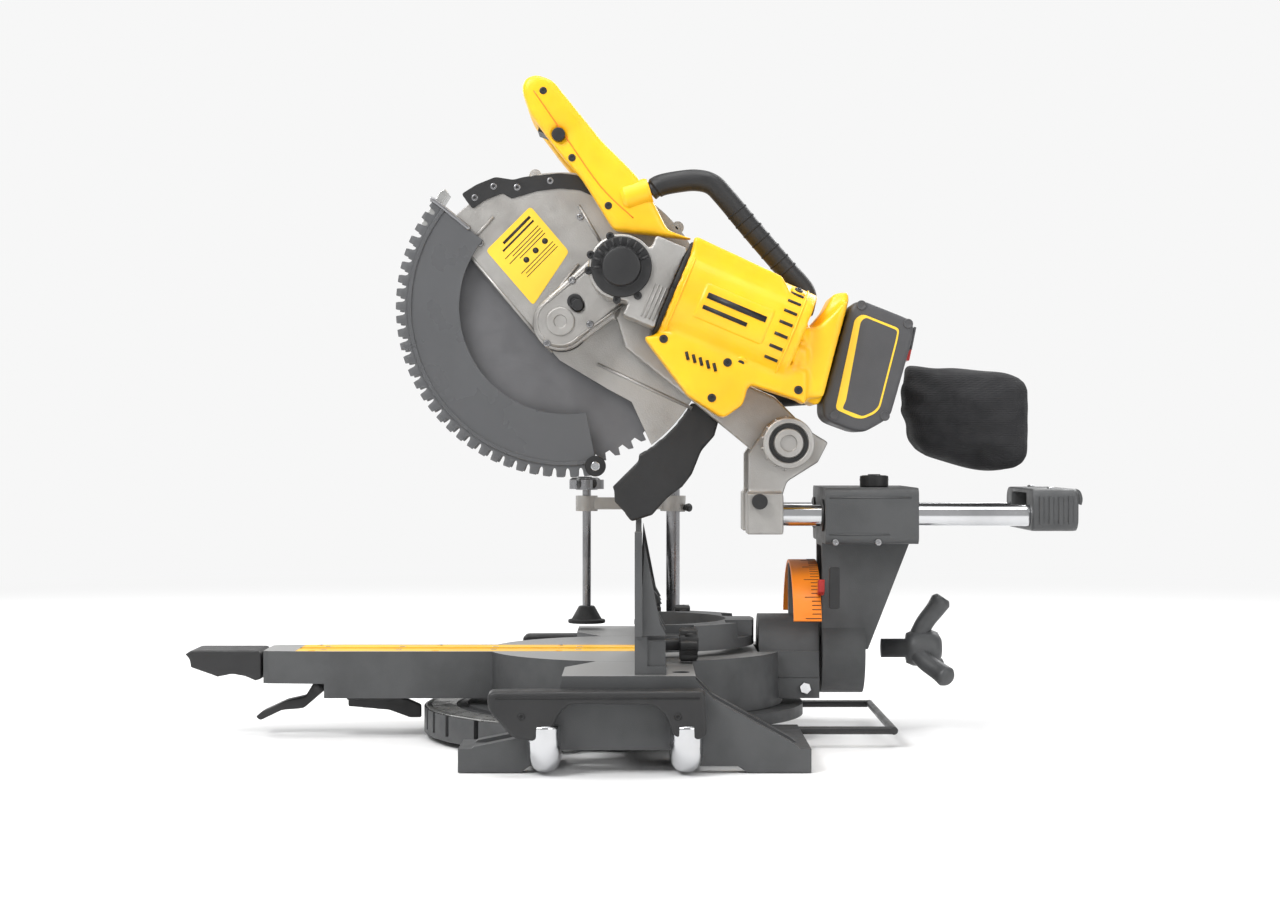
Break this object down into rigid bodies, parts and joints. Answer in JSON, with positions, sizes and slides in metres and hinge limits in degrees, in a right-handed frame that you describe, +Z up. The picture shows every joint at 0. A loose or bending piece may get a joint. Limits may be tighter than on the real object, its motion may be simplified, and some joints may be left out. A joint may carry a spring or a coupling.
{
  "type": "sliding miter saw",
  "caption": "Sliding compound mitre saw with a rail-guided bevelling head, belt-driven blade, swinging guard, D-handle, battery, sliding fences and a detented turntable.",
  "frame": {"origin": "on the mitre pivot axis at bench level, the centre of the four bench bolt holes", "axes": "+Z up, +Y to the rear along the slide rails, +X to the operator's right"},
  "size_m": [0.668, 0.931, 0.694],
  "materials": {
    "dark_metal": "textured satin paint over cast aluminium",
    "fence_alloy": "satin paint over cast aluminium",
    "scale_plate": "brushed",
    "steel": "turned",
    "chrome": "polished",
    "black_plastic": "fine grain",
    "black_rubber": "matte",
    "black_wire": "satin",
    "yellow_plastic": "fine grain",
    "orange_scale": "satin",
    "bronze": "turned",
    "cast_alloy": "cast and blasted",
    "copper": "wound",
    "laminated_steel": "laminated",
    "blade_steel": "ground",
    "smoke_guard": "smoked polycarbonate",
    "battery_plastic": "fine grain",
    "red_plastic": "satin",
    "bag_fabric": "woven"
  },
  "bodies": {
    "base": {"base_casting": "dark_metal", "mitre_scale": "scale_plate", "fence_lower": "fence_alloy", "pivot_bolt": "steel", "rear_stand": "black_wire", "clamp_post": "steel"},
    "fence_upper_left": {"fence_upper_left": "fence_alloy"},
    "fence_upper_right": {"fence_upper_right": "fence_alloy"},
    "fence_knob_left": {"fence_knob_left": "black_plastic"},
    "fence_knob_right": {"fence_knob_right": "black_plastic"},
    "support_left": {"support_left": "black_plastic", "support_tubes_left": "steel"},
    "support_right": {"support_right": "black_plastic", "support_tubes_right": "steel"},
    "clamp_arm": {"clamp_arm": "black_plastic"},
    "clamp_pad": {"clamp_pad": "black_rubber"},
    "clamp_screw": {"clamp_screw": "steel"},
    "turntable": {"turntable": "dark_metal", "kerf_plate_left": "yellow_plastic", "kerf_plate_right": "yellow_plastic", "bevel_support": "dark_metal", "bevel_scale": "orange_scale"},
    "mitre_grip": {"mitre_grip": "black_plastic"},
    "detent_lever": {"detent_lever": "black_plastic"},
    "detent_latch": {"detent_latch": "black_plastic"},
    "tower": {"tower": "dark_metal", "slide_bushes": "bronze"},
    "bevel_knob": {"bevel_knob": "black_plastic"},
    "slide_lock_knob": {"slide_lock_knob": "black_plastic"},
    "carriage": {"rails": "chrome", "rail_end_cap": "dark_metal", "head_bracket": "cast_alloy", "chop_pin": "black_plastic"},
    "head_lock_pin": {"head_lock_pin": "black_plastic"},
    "head": {"gearcase": "cast_alloy", "belt_cover": "cast_alloy", "gear_cap": "black_plastic", "bearings": "steel", "drive_belt": "black_rubber", "upper_guard": "cast_alloy", "motor_housing": "yellow_plastic", "motor_stator": "copper", "handle_front": "yellow_plastic", "handle_rear": "yellow_plastic", "carry_handle": "black_plastic", "battery_foot": "yellow_plastic", "dust_chute": "black_rubber", "dust_duct": "black_plastic", "dust_bag": "bag_fabric"},
    "blade": {"blade": "blade_steel", "arbor": "steel"},
    "jackshaft": {"jackshaft": "steel"},
    "rotor": {"rotor": "laminated_steel"},
    "lower_guard": {"lower_guard": "smoke_guard"},
    "guard_roller": {"guard_roller": "black_rubber"},
    "trigger": {"trigger": "black_plastic"},
    "lock_off_button": {"lock_off_button": "black_plastic"},
    "spindle_lock": {"spindle_lock": "black_plastic"},
    "battery": {"battery": "battery_plastic"},
    "battery_button": {"battery_button": "red_plastic"}
  },
  "joints": [
    {"name": "fence_left_slide", "type": "slide", "parent": "base", "child": "fence_upper_left", "axis": [1, 0, 0], "range_m": [-0.09, 0]},
    {"name": "fence_right_slide", "type": "slide", "parent": "base", "child": "fence_upper_right", "axis": [1, 0, 0], "range_m": [0, 0.09]},
    {"name": "fence_left_clamp", "type": "hinge", "parent": "base", "child": "fence_knob_left", "pos_m": [-0.165, 0.05, 0.108], "axis": [0, 1, 0], "range_deg": [-90, 90]},
    {"name": "fence_right_clamp", "type": "hinge", "parent": "base", "child": "fence_knob_right", "pos_m": [0.165, 0.05, 0.108], "axis": [0, 1, 0], "range_deg": [-90, 90]},
    {"name": "support_left_slide", "type": "slide", "parent": "base", "child": "support_left", "axis": [-1, 0, 0], "range_m": [0, 0.08]},
    {"name": "support_right_slide", "type": "slide", "parent": "base", "child": "support_right", "axis": [1, 0, 0], "range_m": [0, 0.08]},
    {"name": "clamp_swing", "type": "hinge", "parent": "base", "child": "clamp_arm", "pos_m": [-0.262, 0.044, 0.238], "axis": [0, 0, 1], "range_deg": [-90, 30]},
    {"name": "clamp_press", "type": "slide", "parent": "clamp_arm", "child": "clamp_pad", "axis": [0, 0, 1], "range_m": [-0.006, 0.042]},
    {"name": "clamp_turn", "type": "hinge", "parent": "clamp_pad", "child": "clamp_screw", "pos_m": [-0.262, -0.058, 0.18], "axis": [0, 0, 1], "range_deg": [-360, 2520]},
    {"name": "mitre", "type": "hinge", "parent": "base", "child": "turntable", "pos_m": [0, 0, 0.09], "axis": [0, 0, 1], "range_deg": [-45, 45]},
    {"name": "mitre_lock", "type": "hinge", "parent": "turntable", "child": "mitre_grip", "pos_m": [0, -0.4, 0.084], "axis": [1, 0, 0], "range_deg": [-20, 0]},
    {"name": "detent_release", "type": "hinge", "parent": "turntable", "child": "detent_lever", "pos_m": [0, -0.336, 0.05], "axis": [1, 0, 0], "range_deg": [-12, 0]},
    {"name": "detent_slide", "type": "slide", "parent": "turntable", "child": "detent_latch", "axis": [0, -1, 0], "range_m": [0, 0.009]},
    {"name": "bevel", "type": "hinge", "parent": "turntable", "child": "tower", "pos_m": [0, 0.196, 0.09], "axis": [0, 1, 0], "range_deg": [-45, 45]},
    {"name": "bevel_lock", "type": "hinge", "parent": "tower", "child": "bevel_knob", "pos_m": [0, 0.262, 0.09], "axis": [0, 1, 0], "range_deg": [-60, 60]},
    {"name": "slide_lock", "type": "hinge", "parent": "tower", "child": "slide_lock_knob", "pos_m": [0.025, 0.252, 0.262], "axis": [0, 0, 1], "range_deg": [-180, 360]},
    {"name": "head_slide", "type": "slide", "parent": "tower", "child": "carriage", "axis": [0, 1, 0], "range_m": [-0.11, 0.036]},
    {"name": "head_lock", "type": "slide", "parent": "carriage", "child": "head_lock_pin", "axis": [1, 0, 0], "range_m": [0, 0.012]},
    {"name": "chop", "type": "hinge", "parent": "carriage", "child": "head", "pos_m": [0, 0.158, 0.308], "axis": [1, 0, 0], "range_deg": [0, 50]},
    {"name": "blade_spin", "type": "hinge", "parent": "head", "child": "blade", "pos_m": [0, -0.078, 0.435], "axis": [1, 0, 0], "continuous": true},
    {"name": "jackshaft_spin", "type": "hinge", "parent": "head", "child": "jackshaft", "pos_m": [0.04, -0.014, 0.487], "axis": [1, 0, 0], "continuous": true},
    {"name": "motor_spin", "type": "hinge", "parent": "head", "child": "rotor", "pos_m": [0.074, 0.07812, 0.44809], "axis": [0, 0.9212, -0.3891], "continuous": true},
    {"name": "guard_retract", "type": "hinge", "parent": "head", "child": "lower_guard", "pos_m": [0, -0.073, 0.452], "axis": [1, 0, 0], "range_deg": [-120, 0]},
    {"name": "roller_spin", "type": "hinge", "parent": "lower_guard", "child": "guard_roller", "pos_m": [0.029, -0.042, 0.284], "axis": [1, 0, 0], "continuous": true},
    {"name": "trigger_pull", "type": "hinge", "parent": "head", "child": "trigger", "pos_m": [0, -0.072, 0.654], "axis": [1, 0, 0], "range_deg": [-8, 0]},
    {"name": "lock_off_press", "type": "slide", "parent": "head", "child": "lock_off_button", "axis": [-1, 0, 0], "range_m": [0, 0.005]},
    {"name": "spindle_lock_press", "type": "slide", "parent": "head", "child": "spindle_lock", "axis": [-1, 0, 0], "range_m": [0, 0.003]},
    {"name": "battery_slide", "type": "slide", "parent": "head", "child": "battery", "axis": [0, 0.264, 0.9645], "range_m": [0, 0.09]},
    {"name": "battery_release", "type": "slide", "parent": "battery", "child": "battery_button", "axis": [0, -1, 0], "range_m": [0, 0.003]}
  ],
  "couplings": [
    {"joint": "clamp_press", "follows": "clamp_turn", "m_per_rad": 0.00095493},
    {"joint": "detent_slide", "follows": "detent_release", "m_per_rad": -0.042972},
    {"joint": "jackshaft_spin", "follows": "blade_spin", "ratio": 1.1111},
    {"joint": "motor_spin", "follows": "blade_spin", "ratio": -2.8889},
    {"joint": "guard_retract", "follows": "chop", "ratio": -2.4}
  ]
}
